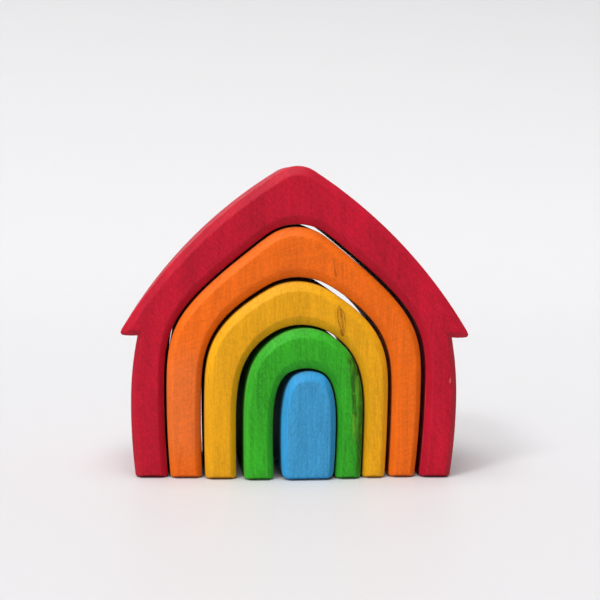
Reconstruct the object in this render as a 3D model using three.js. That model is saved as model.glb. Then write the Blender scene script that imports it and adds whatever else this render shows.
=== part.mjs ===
// Rainbow house stacker: a wooden house sawn into five pieces that stand inside one another.
// Millimetres, +Z up. The pieces stand on Z = 0 with their fronts towards -Y.
import * as THREE from "three";
import { mergeVertices } from "three/addons/utils/BufferGeometryUtils.js";

// Every piece: its depth, the chamfer round its front and back, which is taller over a crown
// than it is wide beside a leg, and the rounding under its feet
const PIECE_DEPTH = 82;
const CHAMFER_DEPTH = 3.5;
const SIDE_CHAMFER = 3.5;
const CROWN_CHAMFER = 5.2;
const FOOT_ROUND = 1.8;

// Blue door: half its width at the belly, where the side is widest, and its height.
// The side curve leaves the belly upright for wallRun and reaches the crown's arc along
// the crown's pitch, in degrees, over roofRun.
const DOOR = {
  halfWidth: 15.85,
  height: 62.6,
  cornerRadius: 4.5,
  footTaper: 0.8,
  bellyHeight: 30.2,
  crownRadius: 17,
  crownPitch: 24,
  wallRun: 14,
  roofRun: 8,
};

// Arches: the wood at the legs and the crown, and the play round the piece inside.
// openingShift is how far the saw cut lies right of the middle.
const GREEN_ARCH = {
  legWidth: 15.75,
  crownThickness: 23.25,
  sidePlay: 2.75,
  crownPlay: 1.35,
  openingShift: 1,
  footTaper: 0.6,
  bellyHeight: 37.2,
  crownRadius: 28.7,
  crownPitch: 34.5,
  wallRun: 24.6,
  roofRun: 15.5,
};

const YELLOW_ARCH = {
  legWidth: 15.95,
  crownThickness: 24.85,
  sidePlay: 2.65,
  crownPlay: 1.5,
  openingShift: 2.25,
  footTaper: 0.95,
  bellyHeight: 45,
  crownRadius: 33.7,
  crownPitch: 30.7,
  wallRun: 25.3,
  roofRun: 41.2,
};

const ORANGE_ARCH = {
  legWidth: 18.4,
  crownThickness: 28.75,
  sidePlay: 2.05,
  crownPlay: 2.25,
  openingShift: 1.35,
  footTaper: 2.5,
  bellyHeight: 54.8,
  crownRadius: 27.2,
  crownPitch: 37.9,
  wallRun: 32.8,
  roofRun: 65.9,
};

// Red house: walls that bulge a little, and a bowed roof whose eaves stand out over them
const HOUSE = {
  legWidth: 18.65,
  ridgeThickness: 33.1,
  sidePlay: 1.95,
  crownPlay: 1.4,
  openingShift: 0.2,
  footTaper: 2.7,
  bellyHeight: 44.8,
  wallTopTaper: 3.6,
  eaveHeight: 81.6,
  eaveOverhang: 11.2,
  eaveRound: 4.5,
  roofRadius: 283,
  ridgeRadius: 17,
};

// Stances: each piece is set down by hand inside the next one. aside and turn are shares
// of the play that is left there, aside to the right and turn with the left leg forward.
const STANCES = {
  orange_arch: { aside: -0.55, turn: 0.66, forward: 0.5 },
  yellow_arch: { aside: -0.47, turn: 0.66, forward: 2.4 },
  green_arch: { aside: 0.28, turn: 0.5, forward: 2.4 },
  blue_door: { aside: 0.63, turn: 0, forward: 1.7 },
};

const COLOURS = {
  red_house: "#b71f33",
  orange_arch: "#e66a1c",
  yellow_arch: "#e09d1c",
  green_arch: "#38a02c",
  blue_door: "#408ebc",
};
const STAIN_ROUGHNESS = 0.62;

// Facets along each stretch of an outline
const WALL_STEPS = 6;
const SIDE_STEPS = 16;
const CROWN_STEPS = 4;
const CORNER_STEPS = 4;
const EAVE_STEPS = 3;

// A line is a list of samples: a point and the direction out of the arch there.
function sampleCurve(curve, steps) {
  const samples = [];
  for (let i = 0; i <= steps; i++) {
    const tangent = curve.getTangent(i / steps);
    samples.push({
      point: curve.getPoint(i / steps),
      normal: new THREE.Vector2(tangent.y, -tangent.x),
    });
  }
  return samples;
}

function mirrored(vector) {
  return new THREE.Vector2(-vector.x, vector.y);
}

// The wall from the foot's corner up to the belly, leaving the corner upright
function lowerWall(halfWidth, { footTaper, bellyHeight }, cornerRadius) {
  const foot = new THREE.Vector2(halfWidth - footTaper, cornerRadius);
  const bend = new THREE.Vector2(halfWidth, bellyHeight / 2);
  const belly = new THREE.Vector2(halfWidth, bellyHeight);
  const samples = sampleCurve(new THREE.QuadraticBezierCurve(foot, bend, belly), WALL_STEPS);
  samples[0].normal.set(1, 0);
  return samples;
}

// The whole line of an arch, from the right foot over the crown to the left foot
function archLine(halfWidth, height, shape, cornerRadius) {
  const pitch = THREE.MathUtils.degToRad(shape.crownPitch);
  const crownCentre = height - shape.crownRadius;
  const belly = new THREE.Vector2(halfWidth, shape.bellyHeight);
  const crownEnd = new THREE.Vector2(
    shape.crownRadius * Math.sin(pitch),
    crownCentre + shape.crownRadius * Math.cos(pitch),
  );
  const side = new THREE.CubicBezierCurve(
    belly,
    new THREE.Vector2(belly.x, belly.y + shape.wallRun),
    new THREE.Vector2(
      crownEnd.x + shape.roofRun * Math.cos(pitch),
      crownEnd.y - shape.roofRun * Math.sin(pitch),
    ),
    crownEnd,
  );
  const crown = new THREE.EllipseCurve(
    0, crownCentre, shape.crownRadius, shape.crownRadius, Math.PI / 2 - pitch, Math.PI / 2,
  );
  const right = [
    ...lowerWall(halfWidth, shape, cornerRadius),
    ...sampleCurve(side, SIDE_STEPS).slice(1),
    ...sampleCurve(crown, CROWN_STEPS).slice(1),
  ];
  const left = right.slice(0, -1).reverse().map(({ point, normal }) => ({
    point: mirrored(point),
    normal: mirrored(normal),
  }));
  return [...right, ...left];
}

// The opening that leaves a piece's line its play, shifted to where the saw ran.
// It ends in rounded feet of its own, whatever the corners of the piece inside.
function openingRound(line, { sidePlay, crownPlay, openingShift }) {
  const opening = line.map(({ point, normal }) => ({
    point: new THREE.Vector2(
      point.x + normal.x * sidePlay + openingShift,
      point.y + normal.y * crownPlay,
    ),
    normal,
  }));
  opening.at(0).point.y = FOOT_ROUND;
  opening.at(-1).point.y = FOOT_ROUND;
  return opening;
}

// An outline is a list of corners: rim lies on the piece's side, face inside the chamfer.
function chamferLine(line, inward) {
  return line.map(({ point, normal }) => ({
    rim: point,
    face: new THREE.Vector2(
      point.x + inward * normal.x * SIDE_CHAMFER,
      point.y + inward * normal.y * CROWN_CHAMFER,
    ),
  }));
}

// A rounded foot corner, from the floor up to the wall; outward is the wall's side, 1 or -1
function footCorner(wallX, outward, radius) {
  const faceInset = Math.max(radius, SIDE_CHAMFER);
  const faceRise = Math.max(radius, FOOT_ROUND);
  const corners = [];
  for (let i = 0; i < CORNER_STEPS; i++) {
    const angle = (Math.PI / 2) * (i / CORNER_STEPS);
    const rimX = radius - radius * Math.sin(angle);
    const rimY = radius - radius * Math.cos(angle);
    const faceX = faceInset - (faceInset - SIDE_CHAMFER) * Math.sin(angle);
    const faceY = faceRise - (faceRise - FOOT_ROUND) * Math.cos(angle);
    corners.push({
      rim: new THREE.Vector2(wallX - outward * rimX, rimY),
      face: new THREE.Vector2(wallX - outward * faceX, faceY),
    });
  }
  return corners;
}

// The outside of a piece between its feet, with both outer foot corners
function outside(corners, cornerRadius) {
  const rightX = corners[0].rim.x;
  const leftX = corners[corners.length - 1].rim.x;
  return [
    ...footCorner(rightX, 1, cornerRadius),
    ...corners,
    ...footCorner(leftX, -1, cornerRadius).reverse(),
  ];
}

// The opening's side of a piece, running back from the left leg to the right one
function inside(opening) {
  const corners = chamferLine(opening, 1).reverse();
  const leftX = corners[0].rim.x;
  const rightX = corners[corners.length - 1].rim.x;
  return [
    ...footCorner(leftX, 1, FOOT_ROUND),
    ...corners,
    ...footCorner(rightX, -1, FOOT_ROUND).reverse(),
  ];
}

// Centre of the roof's arc, which passes the eave tip and meets the ridge's circle smoothly
function roofCentre(tip, ridge, roofRadius, ridgeRadius) {
  const toRidge = ridge.clone().sub(tip);
  const span = toRidge.length();
  const reach = (roofRadius ** 2 - (roofRadius - ridgeRadius) ** 2 + span ** 2) / (2 * span);
  const drop = Math.sqrt(roofRadius ** 2 - reach ** 2);
  const along = toRidge.divideScalar(span);
  const inward = new THREE.Vector2(-along.y, along.x);
  return tip.clone().addScaledVector(along, reach).addScaledVector(inward, drop);
}

// The house's outside: wall, eave, roof and ridge, from the right foot to the left one
function houseCorners(halfWidth, height) {
  const wallTop = new THREE.Vector2(halfWidth - HOUSE.wallTopTaper, HOUSE.eaveHeight);
  const belly = new THREE.Vector2(halfWidth, HOUSE.bellyHeight);
  const bend = new THREE.Vector2(halfWidth, (HOUSE.bellyHeight + HOUSE.eaveHeight) / 2);
  const upperWall = sampleCurve(new THREE.QuadraticBezierCurve(belly, bend, wallTop), WALL_STEPS);
  const wall = [...lowerWall(halfWidth, HOUSE, FOOT_ROUND), ...upperWall.slice(1, -1)];
  const faceHeight = HOUSE.eaveHeight + SIDE_CHAMFER;
  const wallTopCorner = {
    rim: wallTop,
    face: new THREE.Vector2(wallTop.x - SIDE_CHAMFER, faceHeight),
  };

  const tip = new THREE.Vector2(wallTop.x + HOUSE.eaveOverhang, HOUSE.eaveHeight);
  const ridge = new THREE.Vector2(0, height - HOUSE.ridgeRadius);
  const centre = roofCentre(tip, ridge, HOUSE.roofRadius, HOUSE.ridgeRadius);
  const startAngle = tip.clone().sub(centre).angle() + HOUSE.eaveRound / HOUSE.roofRadius;
  const endAngle = ridge.clone().sub(centre).angle();
  const roofArc = new THREE.EllipseCurve(
    centre.x, centre.y, HOUSE.roofRadius, HOUSE.roofRadius, startAngle, endAngle,
  );
  const ridgeArc = new THREE.EllipseCurve(
    ridge.x, ridge.y, HOUSE.ridgeRadius, HOUSE.ridgeRadius, endAngle, Math.PI / 2,
  );
  const roof = [...sampleCurve(roofArc, SIDE_STEPS), ...sampleCurve(ridgeArc, CROWN_STEPS).slice(1)];

  // The chamfers under the eave and along the roof meet in one point.
  const roofEdge = chamferLine(roof, -1);
  const clear = roofEdge.findIndex(({ face }) => face.y > faceHeight);
  const below = roofEdge[clear - 1].face;
  const above = roofEdge[clear].face;
  const meeting = below.clone().lerp(above, (faceHeight - below.y) / (above.y - below.y));
  const underside = new THREE.Vector2(tip.x - HOUSE.eaveRound, HOUSE.eaveHeight);
  const eaveCurve = new THREE.QuadraticBezierCurve(underside, tip, roof[0].point);
  const eave = sampleCurve(eaveCurve, EAVE_STEPS).slice(0, -1);
  const eaveCorners = eave.map(({ point }) => ({ rim: point, face: meeting }));
  const roofCorners = roofEdge.map(({ rim, face }, i) => ({
    rim,
    face: i < clear ? meeting : face,
  }));

  const right = [...chamferLine(wall, -1), wallTopCorner, ...eaveCorners, ...roofCorners];
  const left = right.slice(0, -1).reverse().map(({ rim, face }) => ({
    rim: mirrored(rim),
    face: mirrored(face),
  }));
  return [...right, ...left];
}

// A solid board of an outline: a flat front and back, chamfered to straight sides
function chamferedBoard(outline) {
  const front = -PIECE_DEPTH / 2;
  const rings = [
    outline.map(({ face }) => new THREE.Vector3(face.x, front, face.y)),
    outline.map(({ rim }) => new THREE.Vector3(rim.x, front + CHAMFER_DEPTH, rim.y)),
    outline.map(({ rim }) => new THREE.Vector3(rim.x, -front - CHAMFER_DEPTH, rim.y)),
    outline.map(({ face }) => new THREE.Vector3(face.x, -front, face.y)),
  ];
  const vertices = [];
  const addTriangle = (a, b, c) => {
    const collapsed = a.equals(b) || b.equals(c) || c.equals(a);
    if (!collapsed) vertices.push(a, b, c);
  };
  for (let ring = 0; ring < rings.length - 1; ring++) {
    const near = rings[ring];
    const far = rings[ring + 1];
    outline.forEach((corner, i) => {
      const next = (i + 1) % outline.length;
      addTriangle(near[i], far[i], near[next]);
      addTriangle(near[next], far[i], far[next]);
    });
  }
  const faceOutline = outline
    .map(({ face }) => face)
    .filter((face, i, all) => !face.equals(all.at(i - 1)));
  for (const [a, b, c] of THREE.ShapeUtils.triangulateShape(faceOutline, [])) {
    const [p, q, r] = [faceOutline[a], faceOutline[b], faceOutline[c]];
    const atDepth = (point, depth) => new THREE.Vector3(point.x, depth, point.y);
    addTriangle(atDepth(p, front), atDepth(q, front), atDepth(r, front));
    addTriangle(atDepth(p, -front), atDepth(r, -front), atDepth(q, -front));
  }
  return mergeVertices(new THREE.BufferGeometry().setFromPoints(vertices));
}

function woodenPiece(name, outline) {
  const material = new THREE.MeshStandardMaterial({
    color: COLOURS[name],
    roughness: STAIN_ROUGHNESS,
    metalness: 0,
    flatShading: true,
  });
  const mesh = new THREE.Mesh(chamferedBoard(outline), material);
  mesh.name = name;
  return mesh;
}

function blueDoor() {
  const line = archLine(DOOR.halfWidth, DOOR.height, DOOR, DOOR.cornerRadius);
  const mesh = woodenPiece("blue_door", outside(chamferLine(line, -1), DOOR.cornerRadius));
  return { mesh, line, halfWidth: DOOR.halfWidth, height: DOOR.height };
}

// An arch that goes round the piece inside it
function arch(name, inner, sizes) {
  const halfWidth = inner.halfWidth + sizes.sidePlay + sizes.legWidth;
  const height = inner.height + sizes.crownPlay + sizes.crownThickness;
  const line = archLine(halfWidth, height, sizes, FOOT_ROUND);
  const outline = [
    ...outside(chamferLine(line, -1), FOOT_ROUND),
    ...inside(openingRound(inner.line, sizes)),
  ];
  return { mesh: woodenPiece(name, outline), line, halfWidth, height };
}

function redHouse(inner) {
  const halfWidth = inner.halfWidth + HOUSE.sidePlay + HOUSE.legWidth;
  const height = inner.height + HOUSE.crownPlay + HOUSE.ridgeThickness;
  const outline = [
    ...outside(houseCorners(halfWidth, height), FOOT_ROUND),
    ...inside(openingRound(inner.line, HOUSE)),
  ];
  return { mesh: woodenPiece("red_house", outline), halfWidth, height };
}

// Stands a piece, with all that it holds, in the opening of the piece around it
function standIn(outerGroup, outerSizes, mesh) {
  const { aside, turn, forward } = STANCES[mesh.name];
  const playLeft = outerSizes.sidePlay * (1 - Math.abs(aside));
  const group = new THREE.Group();
  group.add(mesh);
  group.position.set(outerSizes.openingShift + aside * outerSizes.sidePlay, -forward, 0);
  group.rotation.z = Math.asin((turn * playLeft) / (PIECE_DEPTH / 2));
  outerGroup.add(group);
  return group;
}

const door = blueDoor();
const green = arch("green_arch", door, GREEN_ARCH);
const yellow = arch("yellow_arch", green, YELLOW_ARCH);
const orange = arch("orange_arch", yellow, ORANGE_ARCH);
const house = redHouse(orange);

const stacker = new THREE.Group();
stacker.add(house.mesh);
const orangeGroup = standIn(stacker, HOUSE, orange.mesh);
const yellowGroup = standIn(orangeGroup, ORANGE_ARCH, yellow.mesh);
const greenGroup = standIn(yellowGroup, YELLOW_ARCH, green.mesh);
standIn(greenGroup, GREEN_ARCH, door.mesh);

// The origin lies on the floor in the middle of the whole footprint.
const bounds = new THREE.Box3().setFromObject(stacker, true);
stacker.position.y = -(bounds.min.y + bounds.max.y) / 2;

export default stacker;
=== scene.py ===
"""Rainbow house stacker: sawn and stained wooden pieces, standing in one another on a pale studio sweep."""
import math

import bmesh
import bpy
import numpy as np
from mathutils import Matrix, Vector
from mathutils.geometry import delaunay_2d_cdt


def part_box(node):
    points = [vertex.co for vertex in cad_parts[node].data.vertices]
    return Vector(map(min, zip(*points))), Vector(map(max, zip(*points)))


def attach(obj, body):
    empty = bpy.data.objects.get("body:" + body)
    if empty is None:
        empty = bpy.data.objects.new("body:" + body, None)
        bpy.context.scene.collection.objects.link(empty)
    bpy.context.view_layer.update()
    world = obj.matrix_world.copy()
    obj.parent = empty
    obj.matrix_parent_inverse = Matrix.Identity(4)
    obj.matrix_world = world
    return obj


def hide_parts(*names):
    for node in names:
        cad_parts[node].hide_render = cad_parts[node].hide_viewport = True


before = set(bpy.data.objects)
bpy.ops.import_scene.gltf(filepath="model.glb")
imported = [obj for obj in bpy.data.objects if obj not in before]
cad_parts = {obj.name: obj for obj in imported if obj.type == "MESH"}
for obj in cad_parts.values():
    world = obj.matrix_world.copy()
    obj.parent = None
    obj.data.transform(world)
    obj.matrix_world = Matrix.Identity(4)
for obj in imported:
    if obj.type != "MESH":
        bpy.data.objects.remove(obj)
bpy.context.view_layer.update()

# Boards, in metres: how far sanding has rounded an arris, the stretch of side kept straight beside it,
# the spacing of the points on a face, and how close two points are that count as one
ARRIS = 0.0007
SIDE_HOLD = 0.004
FACE_GRID = 0.004
WELD = 2e-6

# The steps round an arris, and the turn in degrees from which an outline has a corner
ARRIS_STEPS = 3
CORNER_TURN = 30

# How squarely a facet faces the front, from 0 to 1. A face passes the first value on a board that may
# stand a little turned, and the second along the board's own front. A side stays under the third.
TURNED_FACE = 0.95
OWN_FACE = 0.99
SIDE = 0.02

# Each solid's visible piece, with the body it rides on, its stain in linear colour, the factors on the
# stain that paint light and shade on the chamfers and sides, how strongly the wood's figure shows through
# it, how much of that is upright fibres, and the direction in degrees that its face was sanded in
PIECES = {
    "red_house": {
        "piece": "house_wood", "body": "house", "slot": "red_stain",
        "stain": (0.465, 0.0026, 0.020), "edge": (0.94, 0.9, 1.0),
        "figure": 0.38, "fibres": 0.35, "sanding": 38,
    },
    "orange_arch": {
        "piece": "orange_wood", "body": "orange", "slot": "orange_stain",
        "stain": (0.795, 0.133, 0.003), "edge": (1.02, 1.08, 1.25),
        "figure": 0.25, "fibres": 0.8, "sanding": -72,
    },
    "yellow_arch": {
        "piece": "yellow_wood", "body": "yellow", "slot": "yellow_stain",
        "stain": (0.735, 0.330, 0.003), "edge": (1.01, 1.05, 1.25),
        "figure": 0.25, "fibres": 0.9, "sanding": 12,
    },
    "green_arch": {
        "piece": "green_wood", "body": "green", "slot": "green_stain",
        "stain": (0.030, 0.362, 0.013), "edge": (1.1, 1.04, 1.2),
        "figure": 0.4, "fibres": 1.0, "sanding": 28,
    },
    "blue_door": {
        "piece": "door_wood", "body": "door", "slot": "blue_stain",
        "stain": (0.042, 0.286, 0.545), "edge": (0.76, 1.02, 1.11),
        "figure": 0.3, "fibres": 0.8, "sanding": -25,
    },
}
# The house's outer sides face the room, not a gap, so only its inner sides get painted shade
UNSHADED_OUTSIDE = "red_house"

# A streak of bark ran up through the board. Marks that it left on the fronts, other small flaws, and one
# patch of painted light: what shows, the line that it follows as (x, z) and its width, in millimetres,
# and how strongly it shows
FLAWS = {
    "red_house": [
        ("bare", [(89.4, 58.3), (89.4, 56.0)], 0.9, 0.6),
    ],
    "orange_arch": [
        ("bark", [(20.6, 127.2), (21.0, 122.6), (22.1, 116.4)], 1.0, 0.6),
        ("bark", [(22.0, 126.0), (22.4, 117.0)], 3.0, 0.14),
        ("bark", [(24.9, 125.0), (26.0, 116.0)], 2.0, 0.22),
        ("bark", [(55.0, 86.0), (55.2, 80.5)], 0.7, 0.3),
        # Painted light, not a flaw: the orange arch's left leg made paler, as on the side toward the lamps
        ("bare", [(-64.0, 14.0), (-66.0, 72.0)], 26.0, 0.12),
    ],
    "yellow_arch": [
        ("bark", [(24.2, 99.0), (26.4, 84.0)], 3.6, 0.3),
        ("bark", [(23.3, 100.2), (23.2, 93.5), (26.2, 82.6)], 0.9, 0.8),
        ("bark", [(24.0, 100.3), (27.0, 95.5), (27.8, 89.3), (26.4, 82.6)], 0.8, 0.7),
        ("bark", [(24.6, 98.5), (25.8, 93.5), (26.4, 83.0)], 1.1, 0.7),
        ("bark", [(-42.0, 9.6), (-41.5, 9.2)], 1.1, 0.8),
    ],
    "green_arch": [
        ("bark", [(31.0, 66.0), (31.5, 2.0)], 15.0, 0.14),
        ("moss", [(31.5, 71.0), (34.4, 58.0), (35.4, 40.0), (35.8, 22.0)], 6.5, 0.4),
        ("bark", [(34.6, 71.5), (37.4, 59.0), (38.2, 44.0), (38.0, 2.0)], 5.2, 0.8),
        ("bark", [(31.0, 72.0), (33.6, 66.0), (34.8, 57.0)], 7.5, 0.7),
        ("bark", [(29.4, 70.0), (31.2, 66.5), (30.6, 62.0)], 0.9, 0.9),
        ("bark", [(31.8, 70.8), (33.6, 66.2), (33.0, 60.5)], 1.0, 0.9),
        ("bark", [(34.2, 69.6), (36.0, 65.0), (35.4, 59.5)], 1.2, 0.9),
        ("bark", [(32.2, 61.0), (33.0, 50.0), (33.8, 40.0), (33.9, 35.5)], 2.8, 0.85),
        ("bark", [(33.9, 35.5), (35.3, 20.0)], 1.8, 0.55),
        ("moss", [(35.2, 60.0), (35.8, 46.0)], 1.5, 0.8),
        ("moss", [(33.2, 38.0), (33.8, 27.0)], 1.4, 0.7),
    ],
    "blue_door": [
        ("bark", [(17.2, 58.0), (20.6, 48.0), (21.4, 30.0), (21.2, 4.0)], 3.6, 0.22),
    ],
}

# A mark has faded out at the first value and is full at the second: shares of half its width, and
# places along y, behind the front
MARK_FADE = (1.3, 0.4)
MARK_DEPTH = (-0.026, -0.036)

# Colours in and under the stain: the bare wood and the moss, the share of them that shows where they
# come through, what is left of the stain on bark and how much of its red warms it, and the painted shade
# that darkens the sides in the gaps between pieces
BARE_WOOD = (0.72, 0.56, 0.38)
MOSS = (0.34, 0.30, 0.01)
SHOWING = 0.4
BARK_TONE = 0.16
BARK_WARMTH = (0.2, 0.04, 0.0)
GAP_SHADE_TONE = (0.5, 0.5, 0.5)

# The board that the pieces were sawn from: its pith, well behind it, the width of its growth rings, the
# part of a year in which a ring darkens, and how far the rings sway over waves of a given size
PITH = (-0.12, 0.27, 0.0)
RING_WIDTH = 0.0022
LATE_YEAR = (0.35, 1.0)
RING_SWAY = {"size": (0.03, 0.03, 0.12), "reach": (0.010, 0.010, 0.0)}

# The figure of the stained wood, as the size of its spots along x, y and z in metres
CLOUDS = {"size": (0.014, 0.03, 0.06)}
FIBRES = {"size": (0.0010, 0.0010, 0.022)}
PORES = {"size": (0.0012, 0.0012, 0.0016), "roughness": 0.6}
SCRATCHES = {"size": (0.0007, 0.006, 0.010), "detail": 2.0}

# How strongly the figure darkens the stain. Rings show more on the sides, and pores less off the faces.
CLOUD_WEIGHT = 0.9
SCRATCH_WEIGHT = 0.7
RING_WEIGHT = 0.1
RINGS_ON_SIDES = 0.16
PORE_WEIGHT = 1.1
PORES_OFF_FACES = -0.6

# Patches: the size of their spots, the levels of noise between which they fade in, and how much they
# show. Pale flecks in the stain, torn fibres and the ragged edge of a flaw, and rubbed stretches of a rim.
FLECKS = {"size": (0.0008, 0.0008, 0.0012), "levels": (0.66, 0.76)}
FLECK_SHARE = 0.12
TORN = {"size": (0.0008, 0.0008, 0.004), "levels": (0.38, 0.58), "detail": 4.0}
TORN_SHARE = 0.5
RAGGED_EDGE = {"size": (0.0016, 0.0016, 0.003), "reach": (0.0016, 0.0, 0.0008)}
RUBBED = {"size": (0.012, 0.012, 0.03), "levels": (0.3, 0.8)}
RUBBED_SHARE = 0.35

# The slants between which a surface leaves the face, and becomes a side: 1 is straight to the front or back
OFF_FACE = (0.97, 0.85)
ON_SIDE = (0.6, 0.3)

# The surface's relief: how much each part of the figure stands out, and how strong and deep that is
FIBRE_RELIEF = 0.7
PORE_RELIEF = 0.5
SCRATCH_RELIEF = 0.4
RELIEF_STRENGTH = 0.35
RELIEF_DEPTH = 0.00012

# Matte surfaces: their roughness, what the deep parts of the stain add to it, and a low gloss
ROUGHNESS = 0.5
ADDED_ROUGHNESS = 0.16
GLOSS = 0.2

# Studio, in metres: the floor's level, just under the feet, its reach, and the bend behind the house
# that turns it into a wall
FLOOR_LEVEL = -0.0002
FLOOR_FRONT = -8.0
HALF_WIDTH = 8.0
BEND_START = 1.2
BEND_RADIUS = 1.2
BEND_STEPS = 24
WALL_TOP = 5.0
PAPER = (0.592, 0.587, 0.596)

# Light from all around, and lamps: the direction from the house to each, its light, and its width in degrees
WHITE = (1.0, 1.0, 1.0)
SKY_LIGHT = 0.28
LAMPS = {
    "top": ((-0.13, -0.17, 0.98), 0.88, 50),
    "left": ((-0.51, -0.51, 0.69), 0.37, 13),
    "low": ((-0.50, -0.85, 0.10), 0.15, 60),
}

# Camera: the photograph's view, from the front, a little left of the middle and tilted a little.
# In pixels of the picture: its width, its focal length, and how far off the middle of the picture the
# point straight ahead lies. In metres: the eye's place off the middle, its distance from the house's
# front and its height. In degrees: its tilt.
PICTURE = 600
FOCAL = 1239
AHEAD_LEFT = 88
AHEAD_UP = 119
EYE_ASIDE = -0.04806
EYE_DISTANCE = 0.69995
EYE_HEIGHT = 0.17033
TILT = 0.9
SENSOR_WIDTH = 36.0


# Wooden boards, rebuilt from their plain solids with rounded arrises

def unit(vectors):
    return vectors / np.linalg.norm(vectors, axis=-1, keepdims=True)


def walk(edges):
    """The vertices of a closed chain of edges, in order."""
    links = {}
    for edge in edges:
        for vert in edge.verts:
            links.setdefault(vert, []).append(edge.other_vert(vert))
    start = edges[0].verts[0]
    chain = [start]
    current = links[start][0]
    while current != start:
        nearer, further = links[current]
        following = further if nearer == chain[-1] else nearer
        chain.append(current)
        current = following
    return chain


def board_lines(node):
    """The front of a board: the direction out of it, its rim line, across the chamfer its face line,
    and how far out the middle of the board lies."""
    bm = bmesh.new()
    bm.from_mesh(node.data)
    bmesh.ops.remove_doubles(bm, verts=bm.verts, dist=WELD)
    bm.normal_update()
    facing = [face for face in bm.faces if face.normal.y < -TURNED_FACE]
    front = sum((face.normal * face.calc_area() for face in facing), Vector()).normalized()

    def kind(face):
        slant = face.normal.dot(front)
        if slant > OWN_FACE:
            return "face"
        if abs(slant) < SIDE:
            return "side"
        return "chamfer" if slant > 0 else "back"

    def between(one, other):
        return [edge for edge in bm.edges if {kind(face) for face in edge.link_faces} == {one, other}]

    face_points = set(walk(between("face", "chamfer")))
    rim, face = [], []
    for vert in walk(between("side", "chamfer")):
        partners = [edge.other_vert(vert) for edge in vert.link_edges if edge.other_vert(vert) in face_points]
        nearest = min(partners, key=lambda other: (other.co - vert.co).length)
        rim.append(vert.co.copy())
        face.append(nearest.co.copy())
    depths = [vert.co.dot(front) for vert in bm.verts]
    bm.free()
    return front, np.array(rim), np.array(face), (max(depths) + min(depths)) / 2


def refine(rim, face):
    """Doubles the points of a board's lines, on the curve that the rim's steps suggest. Corners stay."""
    following = np.roll(rim, -1, 0)
    length = np.linalg.norm(following - rim, axis=1)[:, None]
    heading = (following - rim) / length
    earlier, earlier_length = np.roll(heading, 1, 0), np.roll(length, 1, 0)
    tangent = unit(earlier / earlier_length + heading / length)
    smooth = np.sum(earlier * heading, 1)[:, None] > math.cos(math.radians(CORNER_TURN))
    leaving = np.where(smooth & (earlier_length > length / 3), tangent, heading)
    arriving = np.where(smooth & (length > earlier_length / 3), tangent, earlier)
    middle = (rim + following) / 2 + length / 8 * (leaving - np.roll(arriving, -1, 0))

    next_face = np.roll(face, -1, 0)
    shared = np.linalg.norm(next_face - face, axis=1)[:, None] < WELD
    middle_face = np.where(shared, face, middle + (face - rim + next_face - following) / 2)
    finer = np.stack([rim, middle], 1).reshape(-1, 2)
    finer_face = np.stack([face, middle_face], 1).reshape(-1, 2)
    return finer, finer_face


def board_outline(node):
    """A board's axes as rows: across, up and out of its front. Then, in these axes, its finer rim and face
    lines, walked with the wood on the left, and the depths of the rim, the face and the middle."""
    front, rim, face, middle = board_lines(node)
    axes = np.array([(-front.y, front.x, 0), (0, 0, 1), front])
    rim, face = rim @ axes.T, face @ axes.T
    depths = rim[:, 2].mean(), face[:, 2].mean(), middle
    rim, face = rim[:, :2], face[:, :2]
    turning = rim[:, 0] @ np.roll(rim[:, 1], -1) - rim[:, 1] @ np.roll(rim[:, 0], -1)
    if turning < 0:
        rim, face = rim[::-1], face[::-1]
    rim, face = refine(rim, face)
    return axes, rim, face, depths


def cap_line(rim, face):
    """The edge of the flat face inside the rounded arris. Points that share a face point share theirs."""
    new = np.linalg.norm(face - np.roll(face, 1, 0), axis=1) > WELD
    group = np.cumsum(new) - 1
    outward = np.zeros((new.sum(), 2))
    np.add.at(outward, group, unit(rim - face))
    return face - ARRIS * unit(outward)[group]


def at_depth(line, depth):
    return np.column_stack([line, np.full(len(line), depth)])


def bend(start, corner, end):
    """Rows of points that round a corner from start to end."""
    rows = []
    for t in np.linspace(0, 1, ARRIS_STEPS + 1):
        rows.append((1 - t) ** 2 * start + 2 * t * (1 - t) * corner + t ** 2 * end)
    return rows


def board_rings(rim, face, cap, depths):
    """Closed rings of points from the front face's edge, over its chamfer and side, to the back face's.
    Then how much each ring wears, and how much of it lies on the side."""
    rim_depth, face_depth, middle = depths
    edge, corner = at_depth(rim, rim_depth), at_depth(face, face_depth)
    slope = unit(edge - corner) * ARRIS
    rings = [
        *bend(at_depth(cap, face_depth), corner, corner + slope),
        *bend(edge - slope, edge, at_depth(rim, rim_depth - ARRIS)),
        at_depth(rim, rim_depth - ARRIS - SIDE_HOLD),
    ]
    wear = [0] * (ARRIS_STEPS + 2) + [1] * (ARRIS_STEPS - 1) + [0, 0]
    sides = [0] * (ARRIS_STEPS + 2) + [0.5] * (ARRIS_STEPS - 1) + [1, 1]
    mirrored = [at_depth(ring[:, :2], 2 * middle - ring[:, 2]) for ring in reversed(rings)]
    return [*rings, *mirrored], [*wear, *reversed(wear)], [*sides, *reversed(sides)]


def inside_points(outline):
    """A grid of points well inside a closed line."""
    low, high = outline.min(0), outline.max(0)
    across = np.arange(low[0], high[0], FACE_GRID)
    up = np.arange(low[1], high[1], FACE_GRID)
    grid = np.stack(np.meshgrid(across, up), -1).reshape(-1, 2)
    following = np.roll(outline, -1, 0)
    inside = np.zeros(len(grid), bool)
    nearest = np.full(len(grid), np.inf)
    for (ax, ay), (bx, by) in zip(outline, following):
        crosses = (ay > grid[:, 1]) != (by > grid[:, 1])
        with np.errstate(divide="ignore", invalid="ignore"):
            crossing = ax + (grid[:, 1] - ay) / (by - ay) * (bx - ax)
        inside ^= crosses & (grid[:, 0] < crossing)
        nearest = np.minimum(nearest, np.hypot(grid[:, 0] - ax, grid[:, 1] - ay))
    return grid[inside & (nearest > FACE_GRID / 2)]


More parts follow.
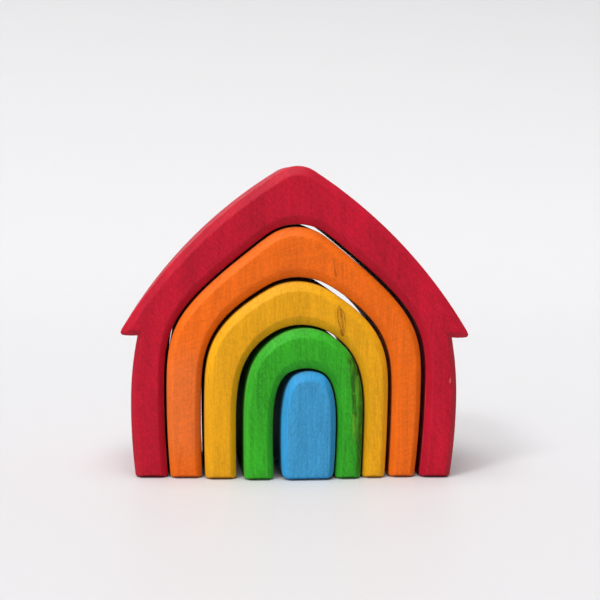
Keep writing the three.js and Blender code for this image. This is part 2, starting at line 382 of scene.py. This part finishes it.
def flat_fill(cap):
    """Points and triangles that fill a closed line."""
    fill_inside, nearness = 1, 1e-7
    outline = cap[np.linalg.norm(cap - np.roll(cap, 1, 0), axis=1) > WELD]
    flat = [Vector(point) for point in (*outline, *inside_points(outline))]
    border = [(i, (i + 1) % len(outline)) for i in range(len(outline))]
    points, _, triangles, *_ = delaunay_2d_cdt(flat, border, [], fill_inside, nearness)
    return np.array([tuple(point) for point in points]), triangles


def inner_side(rim):
    """1 where a closed line, walked with the wood on its left, faces the middle of its foot, else 0."""
    along = np.roll(rim, -1, 0) - np.roll(rim, 1, 0)
    outward = np.column_stack([along[:, 1], -along[:, 0]])
    return (np.sum(outward * rim, 1) < 0).astype(float)


def board_mesh(name, node, outside_unshaded):
    """A closed mesh of a board. Its point attributes: arris is 1 along the rims, and gap_shade is painted
    shade on the sides in the gaps between pieces.
    """
    axes, rim, face, depths = board_outline(node)
    cap = cap_line(rim, face)
    rings, wear, sides = board_rings(rim, face, cap, depths)
    # Painted shade for the sides in the gaps between pieces; on the house only for its inner sides
    sides_in_gaps = inner_side(rim) if outside_unshaded else np.ones(len(rim))
    to_row = np.linalg.inv(axes).T

    bm = bmesh.new()
    arris = bm.verts.layers.float.new("arris")
    gap_shade = bm.verts.layers.float.new("gap_shade")

    def add_points(points, worn_share=0.0, shade_shares=0.0):
        made = [bm.verts.new(point) for point in points @ to_row]
        for vert, share in zip(made, np.broadcast_to(shade_shares, len(made))):
            vert[arris] = worn_share
            vert[gap_shade] = share
        return made

    loops = [add_points(ring, worn, side * sides_in_gaps) for ring, worn, side in zip(rings, wear, sides)]
    for near, far in zip(loops, loops[1:]):
        for i in range(len(rim)):
            following = (i + 1) % len(rim)
            bm.faces.new((near[i], far[i], far[following], near[following]))

    points, triangles = flat_fill(cap)
    _, face_depth, middle = depths
    for depth, order in ((face_depth, 1), (2 * middle - face_depth, -1)):
        verts = add_points(at_depth(points, depth))
        for triangle in triangles:
            bm.faces.new([verts[i] for i in triangle[::order]])

    bmesh.ops.remove_doubles(bm, verts=bm.verts, dist=WELD)
    bmesh.ops.recalc_face_normals(bm, faces=bm.faces)
    return smooth_mesh(name, bm)


def smooth_mesh(name, bm):
    mesh = bpy.data.meshes.new(name)
    bm.to_mesh(mesh)
    bm.free()
    mesh.polygons.foreach_set("use_smooth", [True] * len(mesh.polygons))
    return mesh


# Stained wood

def add_node(tree, kind, inputs=None, **settings):
    """A node with its settings, and each input, by name or number, set or linked."""
    node = tree.nodes.new(kind)
    for name, value in settings.items():
        setattr(node, name, value)
    for socket, value in (inputs or {}).items():
        if isinstance(value, bpy.types.NodeSocket):
            tree.links.new(value, node.inputs[socket])
        else:
            node.inputs[socket].default_value = value
    return node


def calc(tree, operation, a, b=0.0, c=0.0):
    return add_node(tree, "ShaderNodeMath", {0: a, 1: b, 2: c}, operation=operation).outputs[0]


def soft_step(tree, value, low, high):
    """0 below low and 1 above high, with a soft change between them; low may be the larger."""
    inputs = {"Value": value, "From Min": low, "From Max": high}
    return add_node(tree, "ShaderNodeMapRange", inputs, interpolation_type="SMOOTHSTEP").outputs[0]


def vector_calc(tree, operation, a, b):
    node = add_node(tree, "ShaderNodeVectorMath", {0: a, 1: b}, operation=operation)
    return node.outputs["Value" if operation in ("DOT_PRODUCT", "LENGTH") else "Vector"]


def noise(tree, place, size, detail=3.0, roughness=0.55, output="Fac"):
    """Noise around 0.5 whose spots are about size = (x, y, z) large."""
    scaled = vector_calc(tree, "MULTIPLY", place, tuple(1 / length for length in size))
    inputs = {"Vector": scaled, "Scale": 1.0, "Detail": detail, "Roughness": roughness}
    return add_node(tree, "ShaderNodeTexNoise", inputs).outputs[output]


def patches(tree, place, size, levels, detail=3.0):
    """1 in scattered patches, and 0 between them."""
    return soft_step(tree, noise(tree, place, size, detail), *levels)


def wander(tree, place, size, reach):
    """The place, moved to and fro by about reach = (x, y, z) over spots of the given size."""
    push = vector_calc(tree, "SUBTRACT", noise(tree, place, size, output="Color"), (0.5, 0.5, 0.5))
    return vector_calc(tree, "ADD", place, vector_calc(tree, "MULTIPLY", push, reach))


def blend(tree, values, start=0.5):
    """A sum of noises: each value's difference from 0.5, times its weight, on top of start."""
    total = start
    for value, weight in values:
        total = calc(tree, "MULTIPLY_ADD", calc(tree, "SUBTRACT", value, 0.5), weight, total)
    return total


def mix(tree, share, first, second, blend_type="MIX"):
    """The colour first, turning into second as share goes from 0 to 1."""
    node = add_node(tree, "ShaderNodeMix", {"Factor": share}, data_type="RGBA", blend_type=blend_type)
    for name, colour in (("A", first), ("B", second)):
        socket = next(s for s in node.inputs if s.name == name and s.type == "RGBA")
        if isinstance(colour, bpy.types.NodeSocket):
            tree.links.new(colour, socket)
        else:
            socket.default_value = (*colour, 1.0)
    return next(s for s in node.outputs if s.type == "RGBA")


def times(colour, share):
    return [share * c for c in colour]


def toward(colour, other, share):
    """A colour with a share of another in it."""
    return [(1 - share) * c + share * o for c, o in zip(colour, other)]


def growth_rings(tree, place):
    """Dark lines where the board's growth rings end, between 0 and 1."""
    grown = wander(tree, place, **RING_SWAY)
    from_pith = vector_calc(tree, "SUBTRACT", grown, PITH)
    level = vector_calc(tree, "MULTIPLY", from_pith, (1.0, 1.0, 0.0))
    radius = vector_calc(tree, "LENGTH", level, (0.0, 0.0, 0.0))
    year = calc(tree, "FRACT", calc(tree, "DIVIDE", radius, RING_WIDTH))
    return soft_step(tree, year, *LATE_YEAR)


def sanding_marks(tree, place, direction):
    """Fine scratches across a face, running at an angle to upright."""
    turned = add_node(
        tree, "ShaderNodeVectorRotate", {"Vector": place, "Angle": math.radians(direction)},
        rotation_type="Y_AXIS",
    )
    return noise(tree, turned.outputs[0], **SCRATCHES)


def stroke(tree, place, start, end, width):
    """1 along a mark from start to end, given as (x, z) in millimetres, and 0 beyond its width."""
    start = Vector((start[0], 0, start[1])) / 1000
    run = Vector((end[0], 0, end[1])) / 1000 - start
    aside = Vector((run.z, 0, -run.x)).normalized()
    half = width / 2000
    offset = vector_calc(tree, "SUBTRACT", place, start)
    share = vector_calc(tree, "DOT_PRODUCT", offset, run / run.length_squared)
    distance = calc(tree, "ABSOLUTE", vector_calc(tree, "DOT_PRODUCT", offset, aside))
    from_end = calc(tree, "MINIMUM", share, calc(tree, "SUBTRACT", 1.0, share))
    margin = half / run.length
    across = soft_step(tree, distance, *times(MARK_FADE, half))
    return calc(tree, "MULTIPLY", across, soft_step(tree, from_end, -margin, margin))


def marked(tree, place, colour, stain, flaws):
    """The colour with a piece's flaws on it, and any patch of painted light, which reach a little way in
    from its front.
    """
    tints = {
        "bark": [BARK_TONE * c + warmth * stain[0] for c, warmth in zip(stain, BARK_WARMTH)],
        "bare": toward(stain, BARE_WOOD, SHOWING),
        "moss": toward(stain, MOSS, SHOWING),
    }
    fibrous = calc(tree, "MULTIPLY_ADD", patches(tree, place, **TORN), TORN_SHARE, 1 - TORN_SHARE)
    ragged = wander(tree, place, **RAGGED_EDGE)
    depth = add_node(tree, "ShaderNodeSeparateXYZ", {0: place}).outputs["Y"]
    near_front = soft_step(tree, depth, *MARK_DEPTH)
    for tint, line, width, strength in flaws:
        mark = 0.0
        for start, end in zip(line, line[1:]):
            mark = calc(tree, "MAXIMUM", mark, stroke(tree, ragged, start, end, width))
        if tint != "bare":
            mark = calc(tree, "MULTIPLY", mark, fibrous)
        shown = calc(tree, "MULTIPLY", calc(tree, "MULTIPLY", mark, near_front), strength)
        colour = mix(tree, shown, colour, tints[tint])
    return colour


def stained_wood(look, flaws):
    """Limewood with its grain upright, under a matte stain, with painted light and shade on its chamfers
    and sides, painted shade on the sides in the gaps between pieces, and rubbed thin at rims.
    """
    material = bpy.data.materials.new(look["slot"])
    material.use_nodes = True
    tree = material.node_tree
    shader = tree.nodes["Principled BSDF"]
    coordinates = add_node(tree, "ShaderNodeTexCoord")
    place = coordinates.outputs["Object"]

    facing = add_node(tree, "ShaderNodeSeparateXYZ", {0: coordinates.outputs["Normal"]}).outputs["Y"]
    slant = calc(tree, "ABSOLUTE", facing)
    off_face = soft_step(tree, slant, *OFF_FACE)
    on_side = soft_step(tree, slant, *ON_SIDE)

    fibres = noise(tree, place, **FIBRES)
    pores = noise(tree, place, **PORES)
    scratches = sanding_marks(tree, place, look["sanding"])
    tone = blend(tree, [
        (growth_rings(tree, place), calc(tree, "MULTIPLY_ADD", on_side, RINGS_ON_SIDES, RING_WEIGHT)),
        (noise(tree, place, **CLOUDS), CLOUD_WEIGHT),
        (fibres, look["fibres"]),
        (pores, calc(tree, "MULTIPLY_ADD", off_face, PORES_OFF_FACES, PORE_WEIGHT)),
        (scratches, SCRATCH_WEIGHT),
    ])

    stain, figure = look["stain"], look["figure"]
    # Chamfers and sides take the stain times the edge factors: painted light and shade, not a stain of their
    # own
    edge_stain_painted_light = [c * share for c, share in zip(stain, look["edge"])]
    light = mix(tree, off_face, times(stain, 1 + figure), times(edge_stain_painted_light, 1 + figure))
    deep = mix(tree, off_face, times(stain, 1 - figure), times(edge_stain_painted_light, 1 - figure))
    colour = mix(tree, tone, light, deep)

    pale = toward(stain, BARE_WOOD, SHOWING)
    flecks = calc(tree, "MULTIPLY", patches(tree, place, **FLECKS), FLECK_SHARE)
    colour = mix(tree, flecks, colour, pale)
    colour = marked(tree, place, colour, stain, flaws)

    # Painted shade: the sides in the gaps between pieces are darkened, as though they lay in shade
    gap_shade = add_node(tree, "ShaderNodeAttribute", attribute_name="gap_shade").outputs["Fac"]
    colour = mix(tree, gap_shade, colour, GAP_SHADE_TONE, blend_type="MULTIPLY")
    arris = add_node(tree, "ShaderNodeAttribute", attribute_name="arris").outputs["Fac"]
    rubbed = calc(tree, "MULTIPLY", patches(tree, place, **RUBBED), RUBBED_SHARE)
    colour = mix(tree, calc(tree, "MULTIPLY", arris, rubbed), colour, pale)

    relief = blend(tree, [
        (fibres, FIBRE_RELIEF * look["fibres"]), (pores, PORE_RELIEF), (scratches, SCRATCH_RELIEF),
    ])
    bump = {"Strength": RELIEF_STRENGTH, "Distance": RELIEF_DEPTH, "Height": relief}
    tree.links.new(add_node(tree, "ShaderNodeBump", bump).outputs[0], shader.inputs["Normal"])
    tree.links.new(colour, shader.inputs["Base Color"])
    roughness = calc(tree, "MULTIPLY_ADD", tone, ADDED_ROUGHNESS, ROUGHNESS)
    tree.links.new(roughness, shader.inputs["Roughness"])
    shader.inputs["Specular IOR Level"].default_value = GLOSS
    return material


# Pieces

for node_name, look in PIECES.items():
    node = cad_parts[node_name]
    mesh = board_mesh(look["piece"], node, outside_unshaded=node_name == UNSHADED_OUTSIDE)
    mesh.materials.append(stained_wood(look, FLAWS[node_name]))
    piece = bpy.data.objects.new(look["piece"], mesh)
    bpy.context.scene.collection.objects.link(piece)
    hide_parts(node_name)
    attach(piece, look["body"])


# Studio

def paper():
    material = bpy.data.materials.new("sweep_paper")
    material.use_nodes = True
    shader = material.node_tree.nodes["Principled BSDF"]
    shader.inputs["Base Color"].default_value = (*PAPER, 1.0)
    shader.inputs["Roughness"].default_value = ROUGHNESS
    shader.inputs["Specular IOR Level"].default_value = GLOSS
    return material


def sweep():
    """A pale floor that bends up into a wall behind the house."""
    profile = [(FLOOR_FRONT, FLOOR_LEVEL), (0.0, FLOOR_LEVEL)]
    for i in range(BEND_STEPS + 1):
        angle = math.radians(90) * i / BEND_STEPS
        profile.append((
            BEND_START + BEND_RADIUS * math.sin(angle),
            FLOOR_LEVEL + BEND_RADIUS * (1 - math.cos(angle)),
        ))
    profile.append((BEND_START + BEND_RADIUS, WALL_TOP))
    bm = bmesh.new()
    rows = [[bm.verts.new((x, y, z)) for x in (-HALF_WIDTH, HALF_WIDTH)] for y, z in profile]
    for (a, b), (c, d) in zip(rows, rows[1:]):
        bm.faces.new((a, b, d, c))
    mesh = smooth_mesh("sweep", bm)
    mesh.materials.append(paper())
    obj = bpy.data.objects.new("sweep", mesh)
    bpy.context.scene.collection.objects.link(obj)


def sky():
    """Even white light from all around."""
    world = bpy.data.worlds.new("studio")
    bpy.context.scene.world = world
    world.use_nodes = True
    background = world.node_tree.nodes["Background"]
    background.inputs["Color"].default_value = (*WHITE, 1.0)
    background.inputs["Strength"].default_value = SKY_LIGHT


def soft_lamp(name, towards, irradiance, spread):
    """A far, wide lamp: towards points from the house to it, and spread is its width in degrees."""
    data = bpy.data.lights.new(name, "SUN")
    data.energy = math.pi * irradiance
    data.angle = math.radians(spread)
    lamp = bpy.data.objects.new(name, data)
    lamp.rotation_mode = "QUATERNION"
    lamp.rotation_quaternion = Vector(towards).to_track_quat("Z", "Y")
    bpy.context.scene.collection.objects.link(lamp)


sweep()
sky()
for lamp_name, lamp_look in LAMPS.items():
    soft_lamp(lamp_name, *lamp_look)


# Camera

def house_camera():
    """A camera turned so that the point straight ahead of its eye lies off the middle of the picture."""
    data = bpy.data.cameras.new("camera")
    data.sensor_width = SENSOR_WIDTH
    data.lens = SENSOR_WIDTH * FOCAL / PICTURE
    camera = bpy.data.objects.new("camera", data)
    yaw = math.atan(AHEAD_LEFT / FOCAL)
    pitch = math.atan(AHEAD_UP / FOCAL * math.cos(yaw))
    roll = math.radians(TILT)
    forward = Vector((math.sin(yaw) * math.cos(pitch), math.cos(yaw) * math.cos(pitch), -math.sin(pitch)))
    level_right = Vector((math.cos(yaw), -math.sin(yaw), 0))
    level_up = level_right.cross(forward)
    right = math.cos(roll) * level_right + math.sin(roll) * level_up
    up = right.cross(forward)
    house_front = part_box("red_house")[0][1]
    eye = Matrix.Translation((EYE_ASIDE, house_front - EYE_DISTANCE, EYE_HEIGHT))
    camera.matrix_world = eye @ Matrix((right, up, -forward)).transposed().to_4x4()
    bpy.context.scene.collection.objects.link(camera)
    bpy.context.scene.camera = camera


house_camera()
bpy.context.scene.view_settings.view_transform = "Standard"
